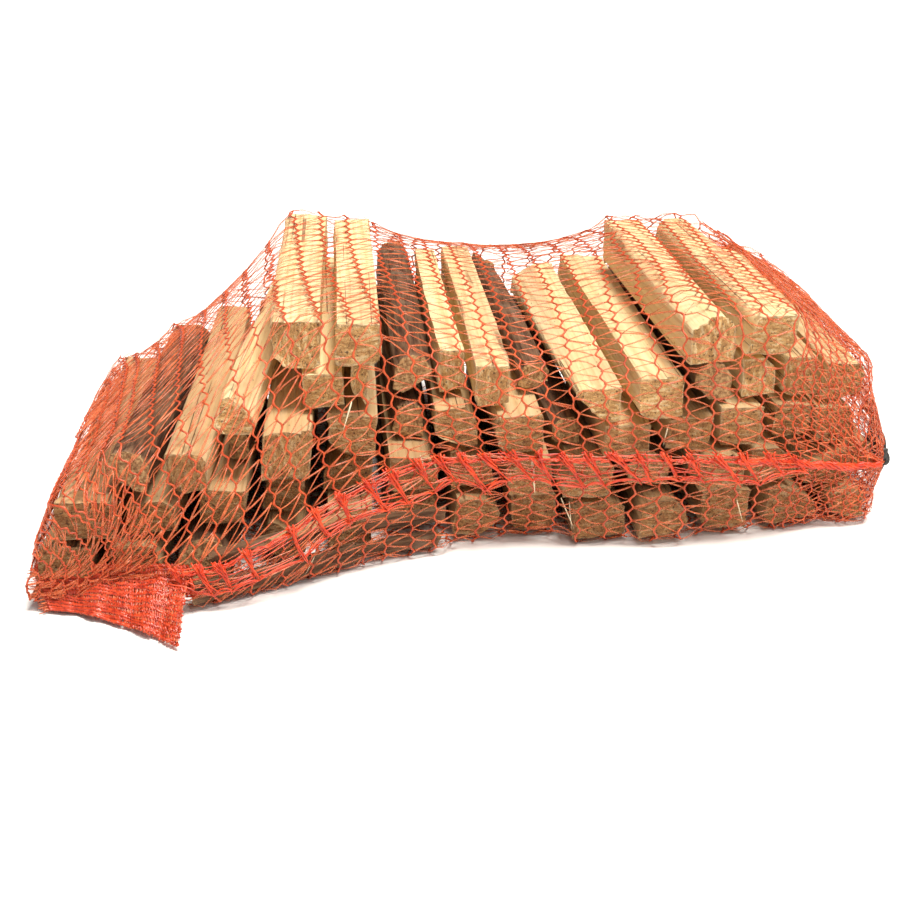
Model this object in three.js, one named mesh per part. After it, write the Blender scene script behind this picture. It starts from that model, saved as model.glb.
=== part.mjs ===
// A net sack of kindling: split softwood sticks laid side by side in courses, held by a knitted net that is
// stretched round them, with a long side seam, a close-knitted band at the closed end and a flat drawstring
// round the mouth. Millimetres. X runs along the sack, Y along the sticks (the front is -Y), and Z is up.

import * as THREE from "three";
import { LoftGeometry } from "three/addons/geometries/LoftGeometry.js";

// ---- Driving dimensions ----

const STICK_STEPS = 4; // lengths that a stick's solid is made of, so that it can bow and twist
const REST_GAP = 0.9; // air between a stick and what it lies on
const SIDE_GAP = 0.5; // air between neighbours in a course
const BED = 1.9; // height of the lowest sticks over the floor: the net under them is there

const NET = {
  thickness: 0.9,
  standoff: 1, // air between the net and the sticks that it is stretched over
  sides: 32, // flats round the sack
  spacing: 13, // from one ring of the net to the next
  slack: 15, // how far along the sack a stick props the net up
};
const CLOSED_END = { drawnIn: 0.25, y: -75, z: 20, eye: 3 }; // gathered to an eye in its middle
const MOUTH = { x: 223, y: -38, z: 18, radius: 8, neck: 8 }; // the gathered end that the drawstring closes
const SEAM = {
  width: 9,
  thickness: 2.2,
  gap: 0.5,
  line: [[-104, 14], [-80, 22], [-56, 31], [-28, 40], [0, 42], [60, 40], [118, 38], [165, 34], [196, 27]],
};
const BAND = { left: -184, right: -116, top: 21, thickness: 1.3, gap: 0.6, flare: [11, 44] };
const TAPE = { width: 5, thickness: 1.1, gap: 0.4 };

// The sack is bent in plan: its closed end comes forward and its mouth goes back a little.
const FRONT = -97; // where the sticks' front ends stand along the straight part of the sack
const BEND = { start: -22, reach: 125, forward: 62 };
const MOUTH_SET_BACK = { start: 118, reach: 90, back: 34 };

const smooth = (t) => {
  const s = Math.min(1, Math.max(0, t));
  return s * s * (3 - 2 * s);
};
const frontLine = (x) =>
  FRONT -
  BEND.forward * smooth((BEND.start - x) / BEND.reach) +
  MOUTH_SET_BACK.back * smooth((x - MOUTH_SET_BACK.start) / MOUTH_SET_BACK.reach);

// ---- Stick sections ----

// A repeatable source of the small differences that splitting leaves.
function differences(seed) {
  let state = seed * 2654435761;
  return (low, high) => {
    state = (state + 0x6d2b79f5) | 0;
    let t = Math.imul(state ^ (state >>> 15), 1 | state);
    t = (t + Math.imul(t ^ (t >>> 7), 61 | t)) ^ t;
    return low + (high - low) * (((t ^ (t >>> 14)) >>> 0) / 4294967296);
  };
}

// Corners of each kind of split section, as shares of half the width and half the thickness.
const SECTIONS = {
  square: [[-1, -1], [0.96, -0.94], [1, 0.92], [-0.93, 1]],
  leaning: [[-1, -0.9], [0.8, -1], [1, 0.86], [-0.72, 1]],
  wedge: [[-1, -1], [1, -0.8], [0.9, 0.15], [-0.35, 1], [-0.8, 0.9]],
  barked: [[-1, -0.7], [-0.5, -1], [0.92, -0.96], [1, 0.3], [0.62, 0.82], [0.05, 1], [-0.6, 0.84], [-0.96, 0.35]],
  chipped: [[-1, -1], [1, -0.92], [0.96, 0.55], [0.5, 1], [-0.94, 0.9]],
};

function sectionShape(kind, width, thickness, vary) {
  const corners = SECTIONS[kind].map(
    ([u, v]) =>
      new THREE.Vector2(
        (u * width) / 2 - Math.sign(u) * vary(0, 0.06) * width,
        (v * thickness) / 2 - Math.sign(v) * vary(0, 0.06) * thickness,
      ),
  );
  return new THREE.Shape(corners);
}

// A stick with its front end's middle at the origin, running back along +Y.
function stickGeometry({ kind, width, thickness, length }, seed) {
  const vary = differences(seed);
  const shape = sectionShape(kind, width, thickness, vary);
  const geometry = new THREE.ExtrudeGeometry(shape, { depth: length, steps: STICK_STEPS, bevelEnabled: false });
  geometry.rotateX(Math.PI / 2);
  geometry.translate(0, length, 0);

  const bow = { x: vary(-1, 1), z: vary(-0.7, 0.7) };
  const taper = { x: vary(-0.1, 0.1), z: vary(-0.1, 0.08) };
  const twist = THREE.MathUtils.degToRad(vary(-3.5, 3.5));
  const cut = { x: vary(-0.09, 0.09), z: vary(-0.07, 0.07) }; // how far the saw cut is from square
  const place = geometry.attributes.position;
  const point = new THREE.Vector3();
  for (let i = 0; i < place.count; i += 1) {
    point.fromBufferAttribute(place, i);
    const along = point.y / length;
    const arch = 4 * along * (1 - along);
    const turn = twist * (along - 0.5);
    const x = point.x * (1 + taper.x * (along - 0.5));
    const z = point.z * (1 + taper.z * (along - 0.5));
    const skew = (cut.x * x + cut.z * z) * (along < 0.5 ? 1 : -0.7) * Math.abs(2 * along - 1);
    place.setXYZ(
      i,
      x * Math.cos(turn) - z * Math.sin(turn) + bow.x * arch,
      point.y + skew,
      x * Math.sin(turn) + z * Math.cos(turn) + bow.z * arch,
    );
  }
  geometry.computeBoundingBox();
  return geometry;
}

// ---- The courses, from the bottom up ----

// The sticks fan out: those at the closed end lie straight back, and towards the mouth their back ends
// turn more and more to the left. Degrees.
const FAN = [[-160, -2], [-110, 0], [-60, 3.5], [0, 5.5], [70, 7.5], [160, 9.5]];

function fanAt(x) {
  const after = FAN.findIndex(([place]) => place > x);
  if (after < 1) return after === 0 ? FAN[0][1] : FAN.at(-1)[1];
  const [[x0, turn0], [x1, turn1]] = [FAN[after - 1], FAN[after]];
  return turn0 + ((turn1 - turn0) * (x - x0)) / (x1 - x0);
}

// Each stick is [kind, middle, width, thickness, length, turn, forward]: middle is where the middle of its
// length lies along the sack, turn is how many degrees its back end goes further left than the fan, and
// forward is how far its front end stands out of the line of the others.
const COURSES = [
  {
    name: "bottom",
    sticks: [
      ["leaning", -171, 30, 27, 188, 2, 3],
      ["square", -141, 28, 26, 196, 1, -4],
      ["barked", -111, 28, 26, 190, 0, 0],
      ["wedge", -82, 27, 23, 196, 0, -3],
      ["square", -54, 25, 23, 192, 0, 3],
      ["barked", -26, 28, 24, 186, 0, -10],
      ["leaning", 3, 28, 22, 198, 0, 2],
      ["square", 30, 25, 23, 190, 0, -5],
      ["chipped", 59, 29, 23, 195, 0, 2],
      ["square", 89, 27, 22, 188, 0, 4],
      ["leaning", 118, 29, 23, 192, 0, -4],
      ["wedge", 150, 31, 22, 186, 0, 3],
    ],
  },
  {
    name: "second",
    sticks: [
      ["square", -161, 30, 22, 190, 2, 2],
      ["chipped", -132, 26, 20, 195, 0, -10],
      ["square", -106, 24, 21, 190, 1, -3],
      ["leaning", -80, 25, 22, 186, 0, -8],
      ["square", -53, 25, 21, 196, -1, -12],
      ["square", -26, 27, 21, 192, 0, 3],
      ["wedge", 1, 25, 21, 188, 0, -3],
      ["square", 27, 24, 21, 196, 0, 3],
      ["leaning", 54, 27, 20, 190, 0, 4],
      ["barked", 82, 25, 20, 194, 0, -9],
      ["chipped", 113, 26, 21, 190, 1, 2],
      ["square", 139, 27, 21, 186, 1, 0],
      ["leaning", 168, 27, 23, 186, 1, 2],
    ],
  },
  {
    name: "third",
    sticks: [
      ["barked", -140, 24, 20, 184, 0, -8],
      ["square", -116, 21, 23, 196, 0, -3],
      ["barked", -99, 12, 20, 180, 0, -26],
      ["square", -79, 25, 26, 196, 0, 3],
      ["square", -52, 26, 23, 190, 0, -1],
      ["barked", -31, 18, 20, 186, 1, -16],
      ["chipped", -6, 24, 23, 194, 0, -2],
      ["square", 21, 27, 23, 190, 0, 1],
      ["barked", 45, 17, 15, 184, 0, -16],
      ["square", 71, 26, 18, 192, 0, 0],
      ["leaning", 97, 25, 19, 196, 1, -2],
      ["square", 123, 24, 21, 188, 0, -4],
      ["square", 147, 22, 21, 190, 1, 0],
      ["square", 171, 24, 23, 186, 0, -2],
    ],
  },
  {
    name: "fourth",
    sticks: [
      ["wedge", -93, 21, 21, 184, -3, -7],
      ["square", -67, 23, 20, 178, 0, -10],
      ["leaning", -48, 12, 24, 184, -2, -8],
      ["barked", -28, 21, 22, 188, 0, -20],
      ["square", -7, 14, 24, 170, 0, -16],
      ["square", 11, 18, 25, 180, 0, -2],
      ["barked", 29, 17, 16, 176, 1, -24],
      ["square", 57, 26, 21, 194, 0, 2],
      ["square", 85, 26, 22, 196, 0, 3],
      ["barked", 110, 21, 22, 182, 0, -12],
      ["chipped", 131, 19, 21, 184, 0, -8],
      ["square", 152, 19, 22, 180, 0, -3],
      ["leaning", 175, 25, 22, 180, 0, -2],
    ],
  },
  {
    name: "top",
    sticks: [
      ["square", -74, 27, 26, 166, 0, -19],
      ["square", -50, 24, 23, 164, 0, 0],
      ["square", 107, 25, 26, 172, 1, 1],
      ["leaning", 136, 29, 24, 170, 1, -2],
    ],
  },
];

// ---- Settling the pile ----

const WOOD = new THREE.MeshStandardMaterial({ color: 0xd9ad72, roughness: 0.85, metalness: 0 });
const BARKED_WOOD = new THREE.MeshStandardMaterial({ color: 0x7a5234, roughness: 0.95, metalness: 0 });

const STATIONS = 40; // places along a stick, and across it, where its clearance is measured
const LANES = 16;
const MARGIN = 0.7; // how far to each side of such a place other sticks are kept clear of
const HIGH = 400;
const down = new THREE.Vector3(0, 0, -1);
const up = new THREE.Vector3(0, 0, 1);
const raycaster = new THREE.Raycaster();

// The height of the highest (or, looking up, the lowest) surface over a point in plan.
function surfaceAt(meshes, { x, y }, direction) {
  raycaster.set(new THREE.Vector3(x, y, -HIGH * direction.z), direction);
  const hits = raycaster.intersectObjects(meshes, false);
  return hits.length ? hits[0].point.z : null;
}

// What lies highest within the margin of a place on the stick, with the gap that stays over it.
function supportAt(stick, laid, across, along) {
  let support = BED;
  for (const aside of [-MARGIN, MARGIN]) {
    const below = surfaceAt(laid, stick.localToWorld(new THREE.Vector3(across + aside, along, 0)), down);
    if (below !== null) support = Math.max(support, below + REST_GAP);
  }
  return support;
}

// How far a stick would have to rise, at places along it, to clear the sticks already laid and the bed.
function clearances(stick, laid, length) {
  const found = [];
  const { min, max } = stick.geometry.boundingBox;
  for (let i = 0; i <= STATIONS; i += 1) {
    const along = THREE.MathUtils.lerp(-2, length + 2, i / STATIONS);
    let rise = -Infinity;
    for (let j = 0; j <= LANES; j += 1) {
      const across = THREE.MathUtils.lerp(min.x, max.x, 0.01 + (0.98 * j) / LANES);
      const under = surfaceAt([stick], stick.localToWorld(new THREE.Vector3(across, along, 0)), up);
      if (under === null) continue;
      rise = Math.max(rise, supportAt(stick, laid, across, along) - under);
    }
    if (rise > -Infinity) found.push({ along, rise });
  }
  return found;
}

// The corners of some sticks, as points.
function cornersOf(sticks) {
  const points = [];
  for (const stick of sticks) {
    const place = stick.geometry.attributes.position;
    for (let i = 0; i < place.count; i += 1) {
      points.push(new THREE.Vector3().fromBufferAttribute(place, i).applyMatrix4(stick.matrixWorld));
    }
  }
  return points;
}

// A stick comes to rest on one support on each side of its middle: the line through those two, which
// clears every other place, is the lowest at the middle that the stick can take.
function restingLine(found, middle) {
  let best = null;
  for (const a of found.filter((f) => f.along <= middle)) {
    for (const b of found.filter((f) => f.along > middle)) {
      const slope = (b.rise - a.rise) / (b.along - a.along);
      const height = a.rise + slope * (middle - a.along);
      if (!best || height > best.height) best = { slope, height };
    }
  }
  return best;
}

function settle(stick, below, length) {
  const near = below.filter((other) => Math.abs(other.position.x - stick.position.x) < 130);
  stick.position.z = 100;
  stick.updateMatrixWorld(true);
  const middle = length / 2;
  const line = restingLine(clearances(stick, near, length), middle);
  stick.rotation.x = Math.atan(line.slope);
  stick.position.z += line.height - line.slope * middle;
  stick.updateMatrixWorld(true);
  const left = clearances(stick, near, length);
  stick.position.z += Math.max(...left.map((f) => f.rise));
  stick.updateMatrixWorld(true);
  const lowest = Math.min(...cornersOf([stick]).map((point) => point.z));
  stick.position.z += Math.max(0, BED - lowest);
  stick.updateMatrixWorld(true);
}

function placeInPlan(stick, middle, { length, turn, forward }) {
  stick.rotation.order = "ZXY";
  stick.rotation.z = THREE.MathUtils.degToRad(fanAt(middle) + turn);
  stick.position.x = middle + Math.sin(stick.rotation.z) * (length / 2);
  stick.position.y = frontLine(stick.position.x) - forward;
}

// The outermost places of a stick in plan, at each of the steps along it: side is -1 for left and 1 for right.
function sideLine(stick, length, side) {
  stick.updateMatrixWorld(true);
  const line = [];
  const place = stick.geometry.attributes.position;
  const point = new THREE.Vector3();
  for (let i = 0; i < place.count; i += 1) {
    point.fromBufferAttribute(place, i);
    const step = Math.round((point.y / length) * STICK_STEPS);
    point.applyMatrix4(stick.matrixWorld);
    if (!line[step] || point.x * side > line[step].x * side) line[step] = point.clone();
  }
  return line;
}

function lineAt(line, y) {
  const beyond = line.findIndex((point) => point.y > y);
  const after = beyond < 0 ? line.length - 1 : Math.max(1, beyond);
  const [p, q] = [line[after - 1], line[after]];
  return p.x + ((q.x - p.x) * (y - p.y)) / (q.y - p.y);
}

// How far a stick has to move right to keep clear of its neighbour's right side, all the way along.
function roomWanted(stick, length, neighbour) {
  const own = sideLine(stick, length, -1);
  let wanted = -Infinity;
  for (const { y } of [...own, ...neighbour]) {
    wanted = Math.max(wanted, lineAt(neighbour, y) + SIDE_GAP - lineAt(own, y));
  }
  return wanted;
}

function layCourse(course, below) {
  const laid = [];
  let before = null;
  course.sticks.forEach(([kind, at, width, thickness, length, turn, forward], index) => {
    const seed = below.length + laid.length + 1;
    const stick = new THREE.Mesh(
      stickGeometry({ kind, width, thickness, length }, seed),
      kind === "barked" ? BARKED_WOOD : WOOD,
    );
    stick.name = `${course.name}_stick_${String(index + 1).padStart(2, "0")}`;
    placeInPlan(stick, at, { length, turn, forward });
    if (before) {
      const room = Math.max(0, roomWanted(stick, length, before));
      placeInPlan(stick, at + room, { length, turn, forward });
    }
    settle(stick, below, length);
    laid.push(stick);
    before = sideLine(stick, length, 1);
  });
  return laid;
}

function layCourses() {
  const pile = [];
  for (const course of COURSES) pile.push(...layCourse(course, pile));
  return pile;
}

const pile = layCourses();

// ---- The net sack ----

// The net is stretched over the pile's corners.
const corners = cornersOf(pile);
const UNDERSIDE = (NET.sides * 3) / 4;
const LAST_ON_FLOOR = 172; // the sack lies flat on the floor as far as this
const angles = Array.from({ length: NET.sides }, (_, side) => (side * 2 * Math.PI) / NET.sides);

// How far the pile reaches in each direction round the sack, near one place along it. Angle 0 is the back,
// and a quarter turn is up.
function reachNear(x) {
  const near = corners.filter((point) => Math.abs(point.x - x) <= NET.slack);
  return angles.map((angle) => {
    const [cos, sin] = [Math.cos(angle), Math.sin(angle)];
    return near.reduce((reach, point) => Math.max(reach, point.y * cos + point.z * sin), -Infinity);
  });
}

// The ring of a tight net with the given reach in each direction, at one place along the sack.
function ring(reach, x, outwards) {
  return angles.map((angle, side) => {
    const next = (side + 1) % NET.sides;
    const [a, b] = [reach[side] + outwards, reach[next] + outwards];
    const between = Math.sin(angles[next] - angle);
    const y = (a * Math.sin(angles[next]) - b * Math.sin(angle)) / between;
    const z = (b * Math.cos(angle) - a * Math.cos(angles[next])) / between;
    return new THREE.Vector3(x, y, z);
  });
}

// The reach of a net that is part way from one shape to another.
const blend = (from, to, share) => from.map((reach, side) => reach + (to[side] - reach) * share);

// The reach of a round thing whose middle is at y, z.
const roundReach = ({ y, z }, radius) =>
  angles.map((angle) => y * Math.cos(angle) + z * Math.sin(angle) + radius);

// The rings' places along the sack and their reaches, from the first sticks to the last.
function netStations() {
  const from = Math.min(...corners.map((point) => point.x));
  const to = Math.max(...corners.map((point) => point.x));
  const count = Math.round((to - from) / NET.spacing);
  const places = Array.from({ length: count + 1 }, (_, i) => from + ((to - from) * i) / count);
  const reaches = places.map(reachNear);
  return places.map((x, i) => {
    const around = [reaches[Math.max(0, i - 1)], reaches[i], reaches[Math.min(count, i + 1)]];
    const highest = angles.map((_, side) => Math.max(...around.map((reach) => reach[side])));
    const reach = blend(reaches[i], highest, 0.4);
    if (x < LAST_ON_FLOOR) reach[UNDERSIDE] = -BED;
    return { x, reach };
  });
}

const stations = netStations();

function netLayer(outwards) {
  const [first, last] = [stations[0], stations.at(-1)];
  const closed = blend(first.reach, roundReach(CLOSED_END, 0), CLOSED_END.drawnIn);
  const neck = roundReach(MOUTH, MOUTH.radius);
  const heel = first.x - 1 - outwards;
  const shoulder = last.x + 1 + outwards;
  const fold = outwards - NET.standoff;
  return [
    ring(roundReach(CLOSED_END, CLOSED_END.eye), heel - 2, 0),
    ring(closed, heel - 2, outwards),
    ring(first.reach, heel, outwards),
    ...stations.map(({ x, reach }) => ring(reach, x, outwards)),
    ring(last.reach, shoulder, outwards),
    ring(blend(last.reach, neck, 0.5), (shoulder + MOUTH.x - MOUTH.neck) / 2, fold),
    ring(neck, MOUTH.x - MOUTH.neck, fold),
    ring(neck, MOUTH.x, fold),
  ];
}

const NET_CORD = new THREE.MeshStandardMaterial({ color: 0xe8502c, roughness: 0.5, metalness: 0 });
const SEAM_CORD = new THREE.MeshStandardMaterial({ color: 0xe0431f, roughness: 0.55, metalness: 0 });
const BLACK_TAPE = new THREE.MeshStandardMaterial({ color: 0x1c1a19, roughness: 0.5, metalness: 0 });

function named(name, geometry, material) {
  const mesh = new THREE.Mesh(geometry, material);
  mesh.name = name;
  return mesh;
}

// The sack is one skin: its outside from the closed end to the mouth, and its inside back again.
function netBag() {
  const outside = netLayer(NET.standoff + NET.thickness);
  const inside = netLayer(NET.standoff).reverse();
  return named("net_bag", new LoftGeometry([...outside, ...inside, outside[0]]), NET_CORD);
}

// ---- The side seam, the close-knitted band and the drawstring ----

const FRONT_SIDE = NET.sides / 2;

// The front of the net at one place along the sack.
function frontOfNet(x) {
  const after = Math.max(1, stations.findIndex((station) => station.x > x));
  const [a, b] = [stations[after - 1], stations[after]];
  const reach = a.reach[FRONT_SIDE] + ((b.reach[FRONT_SIDE] - a.reach[FRONT_SIDE]) * (x - a.x)) / (b.x - a.x);
  return -(reach + NET.standoff + NET.thickness);
}

// The places where a strip along the front needs a section, so that it follows every flat of the net.
function placesBetween(from, to) {
  return [from, ...stations.map(({ x }) => x).filter((x) => x > from + 1 && x < to - 1), to];
}

function between(line, x) {
  const after = Math.max(1, line.findIndex(([place]) => place >= x));
  const [[x0, v0], [x1, v1]] = [line[after - 1], line[after]];
  return v0 + ((v1 - v0) * (x - x0)) / (x1 - x0);
}

// The two edges of the knitted tube are gathered together into a flange that hangs down the front.
function sideSeam() {
  const sections = placesBetween(SEAM.line[0][0], SEAM.line.at(-1)[0]).map((x) => {
    const back = frontOfNet(x) - SEAM.gap;
    const top = between(SEAM.line, x);
    const outline = [[0, 0], [SEAM.thickness, -1], [SEAM.thickness, 1 - SEAM.width], [0.3, -SEAM.width]];
    return outline.map(([out, height]) => new THREE.Vector3(x, back - out, top + height));
  });
  return named("side_seam", new LoftGeometry(sections, { capStart: true, capEnd: true }), SEAM_CORD);
}

// The close-knitted band stands against the front at the closed end and flares out over the floor.
function endBand() {
  const sections = placesBetween(BAND.left, BAND.right).map((x) => {
    const along = (x - BAND.left) / (BAND.right - BAND.left);
    const back = frontOfNet(x) - BAND.gap;
    const foot = back - THREE.MathUtils.lerp(...BAND.flare, smooth(along));
    return [
      new THREE.Vector3(x, back, BAND.top),
      new THREE.Vector3(x, back - BAND.thickness, BAND.top),
      new THREE.Vector3(x, (back + foot) / 2 - BAND.thickness, BAND.top * 0.42),
      new THREE.Vector3(x, foot - BAND.thickness, BAND.thickness),
      new THREE.Vector3(x, foot - BAND.thickness, 0),
      new THREE.Vector3(x, foot, 0),
      new THREE.Vector3(x, (back + foot) / 2, BAND.top * 0.42 - BAND.thickness),
    ];
  });
  return named("end_band", new LoftGeometry(sections, { capStart: true, capEnd: true }), SEAM_CORD);
}

// A flat tape is tied round the neck of the mouth.
function drawstring() {
  const inner = MOUTH.radius + NET.thickness + TAPE.gap;
  const outer = inner + TAPE.thickness;
  const profile = [[inner, 0], [outer, 0], [outer, TAPE.width], [inner, TAPE.width], [inner, 0]];
  const geometry = new THREE.LatheGeometry(profile.map(([r, h]) => new THREE.Vector2(r, h)), 24);
  const tape = named("drawstring", geometry, BLACK_TAPE);
  tape.rotation.z = -Math.PI / 2;
  tape.position.set(MOUTH.x - MOUTH.neck + 2, MOUTH.y, MOUTH.z);
  return tape;
}

// ---- The whole bundle ----

const bundle = new THREE.Group();
bundle.add(...pile, netBag(), sideSeam(), endBand(), drawstring());

// The bundle stands with the middle of its outline in plan at the origin.
const box = new THREE.Box3().setFromObject(bundle);
const middle = box.getCenter(new THREE.Vector3());
bundle.position.set(-middle.x, -middle.y, -box.min.z);

export default bundle;
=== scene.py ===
# %% [markdown]
# # Kindling in a knitted net sack
# The object is a sack of kindling: about fifty split softwood sticks lie side by side in courses,
# and a knitted plastic net is stretched round them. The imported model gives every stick's place and
# size. This lesson adds what a solid leaves out: torn fibres, sawn ends, bark, and the net's real
# chains and tapes.

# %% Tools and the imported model
import math
import random

import bpy
import numpy as np
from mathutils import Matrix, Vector, noise
from mathutils.bvhtree import BVHTree


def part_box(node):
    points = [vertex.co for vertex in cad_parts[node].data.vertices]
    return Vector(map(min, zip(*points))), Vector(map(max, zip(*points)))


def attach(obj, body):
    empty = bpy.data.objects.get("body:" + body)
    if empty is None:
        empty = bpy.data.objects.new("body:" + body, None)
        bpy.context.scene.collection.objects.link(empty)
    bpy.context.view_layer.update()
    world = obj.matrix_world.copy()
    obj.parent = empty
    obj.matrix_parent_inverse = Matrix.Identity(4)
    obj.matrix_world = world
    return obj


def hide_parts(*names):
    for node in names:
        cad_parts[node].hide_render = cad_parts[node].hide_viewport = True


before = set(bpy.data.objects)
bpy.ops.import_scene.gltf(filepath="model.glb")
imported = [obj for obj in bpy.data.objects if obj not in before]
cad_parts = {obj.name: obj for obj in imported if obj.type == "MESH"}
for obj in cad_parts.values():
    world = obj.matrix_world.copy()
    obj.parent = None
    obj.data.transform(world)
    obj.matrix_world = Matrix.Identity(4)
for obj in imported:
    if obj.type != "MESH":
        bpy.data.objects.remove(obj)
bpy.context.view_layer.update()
MM = 0.001
stick_names = sorted(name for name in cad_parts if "_stick_" in name)
barked = {
    name
    for name in stick_names
    if any("bark" in slot.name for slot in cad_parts[name].data.materials if slot)
}

# %% [markdown]
# ## The camera
# A sack on the floor is seen from standing height a few steps away, so the camera looks down at 24
# degrees through a long lens, which keeps the sticks' ends from spreading apart.

# %% Camera
LOOK_AT = Vector((-0.0162, 0.0417, 0.005))
CAMERA_DISTANCE = 0.95
CAMERA_HEIGHT_ANGLE = math.radians(24)

camera_data = bpy.data.cameras.new("camera")
camera_data.lens = 72
camera_data.sensor_width = 36
camera = bpy.data.objects.new("camera", camera_data)
bpy.context.scene.collection.objects.link(camera)
back_along_view = Vector((0, -math.cos(CAMERA_HEIGHT_ANGLE), math.sin(CAMERA_HEIGHT_ANGLE)))
camera.location = LOOK_AT + back_along_view * CAMERA_DISTANCE
camera.rotation_euler = (-back_along_view).to_track_quat("-Z", "Y").to_euler()
bpy.context.scene.camera = camera
print("camera at", tuple(round(c, 3) for c in camera.location))

# %% [markdown]
# ## Light and floor
# The sack stands on plain white board under a large soft light from above. A broad sun lamp gives
# that light evenly over the whole board, and a white world fills the shadows, as the walls of a
# white room would.

# %% Light and floor
scene = bpy.context.scene
scene.view_settings.view_transform = "Standard"

world = bpy.data.worlds.new("white_room")
world.use_nodes = True
world.node_tree.nodes["Background"].inputs["Color"].default_value = (1.0, 0.985, 0.96, 1)
world.node_tree.nodes["Background"].inputs["Strength"].default_value = 0.30
scene.world = world


def add_light(name, kind, energy, place, aim, **settings):
    data = bpy.data.lights.new(name, kind)
    data.energy = energy
    for key, value in settings.items():
        setattr(data, key, value)
    light = bpy.data.objects.new(name, data)
    light.location = place
    light.rotation_euler = (Vector(aim) - Vector(place)).to_track_quat("-Z", "Y").to_euler()
    scene.collection.objects.link(light)
    return light


SUN_COLOUR, BOX_COLOUR = (1.0, 0.96, 0.88), (1.0, 0.96, 0.9)
add_light("overhead", "SUN", 5.3, (0.22, -0.10, 1.2), (0, 0.02, 0), angle=0.42, color=SUN_COLOUR)
add_light("soft_box", "AREA", 1.6, (0.25, -0.80, 0.75), (0, 0, 0.05), size=0.25, color=BOX_COLOUR)

bpy.ops.object.select_all(action="DESELECT")
bpy.ops.mesh.primitive_plane_add(size=9, location=(0, 2.2, -0.0004))
floor = bpy.context.active_object
floor.name = "floor"
bpy.ops.object.transform_apply(location=True, rotation=True, scale=True)

# %% [markdown]
# ## Shader expressions
# A finish is a chain of small sums. Written as nodes one by one they are hard to read, so one class
# wraps a socket and lets Python's own operators add the Math nodes. Everything else goes through
# one method, `add`.


# %% Shader expressions
class Signal:
    """One output socket, which can be used in a sum."""

    def __init__(self, finish, socket):
        self.finish, self.socket = finish, socket

    def math(self, operation, a, b=0.0):
        return self.finish.add("ShaderNodeMath", {"operation": operation}, {0: a, 1: b})

    def __add__(self, other):
        return self.math("ADD", self, other)

    __radd__ = __add__

    def __mul__(self, other):
        return self.math("MULTIPLY", self, other)

    def __sub__(self, other):
        return self.math("SUBTRACT", self, other)

    def __rsub__(self, other):
        return self.math("SUBTRACT", other, self)

    def __pow__(self, other):
        return self.math("POWER", self, other)

    def over(self, edge, soft=0.05):
        """0 below the edge and 1 above it, with a soft step."""
        return self.finish.add(
            "ShaderNodeMapRange",
            {"interpolation_type": "SMOOTHSTEP"},
            {"Value": self, "From Min": edge - soft, "From Max": edge + soft},
        )


class Finish:
    """A material that is built from expressions."""

    def __init__(self, name):
        self.material = bpy.data.materials.new(name)
        self.material.use_nodes = True
        self.tree = self.material.node_tree
        self.shader = self.tree.nodes["Principled BSDF"]

    def add(self, kind, settings=None, values=None, output=0):
        node = self.tree.nodes.new(kind)
        for key, value in (settings or {}).items():
            setattr(node, key, value)
        for key, value in (values or {}).items():
            self.feed(node.inputs[key], value)
        return Signal(self, node.outputs[output])

    def feed(self, socket, value):
        if isinstance(value, Signal):
            self.tree.links.new(value.socket, socket)
        elif isinstance(value, tuple) and socket.type == "RGBA":
            socket.default_value = (*value, 1)
        else:
            socket.default_value = value

    def mix(self, share, a, b, blend="MIX"):
        settings = {"data_type": "RGBA", "blend_type": blend}
        return self.add("ShaderNodeMix", settings, {0: share, 6: a, 7: b}, output=2)

    def noise(self, vector, scale, detail=2.0, roughness=0.5):
        return self.add(
            "ShaderNodeTexNoise",
            {},
            {"Vector": vector, "Scale": scale, "Detail": detail, "Roughness": roughness},
        )

    def attribute(self, name, output=2):
        """A value that the mesh carries: output 1 is its three numbers, output 2 is one number."""
        return self.add("ShaderNodeAttribute", {"attribute_name": name}, output=output)

    def stretched(self, vector, by):
        return self.add("ShaderNodeVectorMath", {"operation": "MULTIPLY"}, {0: vector, 1: by})

    def streaky(self, vector, by, detail=2.0, roughness=0.5):
        """Noise that is finer one way than another; three numbers say how fine it is each way."""
        return self.noise(self.stretched(vector, by), 1.0, detail, roughness)

    def bump(self, height, distance, strength=1.0):
        return self.add(
            "ShaderNodeBump", {}, {"Height": height, "Distance": distance, "Strength": strength}
        )

    def surface(self, **values):
        for key, value in values.items():
            self.feed(self.shader.inputs[key.replace("_", " ")], value)
        return self.material


# %% The floor's finish
board = Finish("white_board")
board_grain = board.noise(board.add("ShaderNodeTexCoord", output=3), 14.0, 3.0)
floor.data.materials.append(
    board.surface(
        Base_Color=board.mix(board_grain, (0.93, 0.93, 0.93), (0.96, 0.96, 0.955)),
        Roughness=0.7,
    )
)
print("floor finished")

# %% [markdown]
# ## Split wood
# Kindling is split along the grain, so its sides are torn fibre with long streaks, and its ends are
# rough from the saw. The pattern has to run along each stick, whatever way the stick lies. Each
# stick's mesh therefore carries a `grain` attribute: how far along the stick a point is, how far
# across, and how far up, each from a place of the stick's own, so that no two sticks show the same
# streaks.

# %% Split wood's finish
wood = Finish("split_softwood")
grain = wood.attribute("grain", 1)
tone = wood.attribute("tone")
sawn = wood.attribute("sawn_end")
worn = wood.attribute("worn_edge")

streaks = wood.streaky(grain, (9, 230, 230), 4.0, 0.6)
fibres = wood.streaky(grain, (40, 1500, 1500), 3.0, 0.6)
patches = wood.streaky(grain, (14, 45, 45), 2.0)
wander = wood.streaky(grain, (7, 60, 60), 2.0)
distance = wood.add(
    "ShaderNodeVectorMath", {"operation": "LENGTH"}, {0: wood.stretched(grain, (0, 1, 1))}, output=1
)
years = distance * (2 * math.pi / 0.0031) + wander * 9.0
late_wood = wood.add("ShaderNodeMath", {"operation": "SINE"}, {0: years}) * 0.5 + 0.5
late_wood = late_wood**3.0

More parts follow.
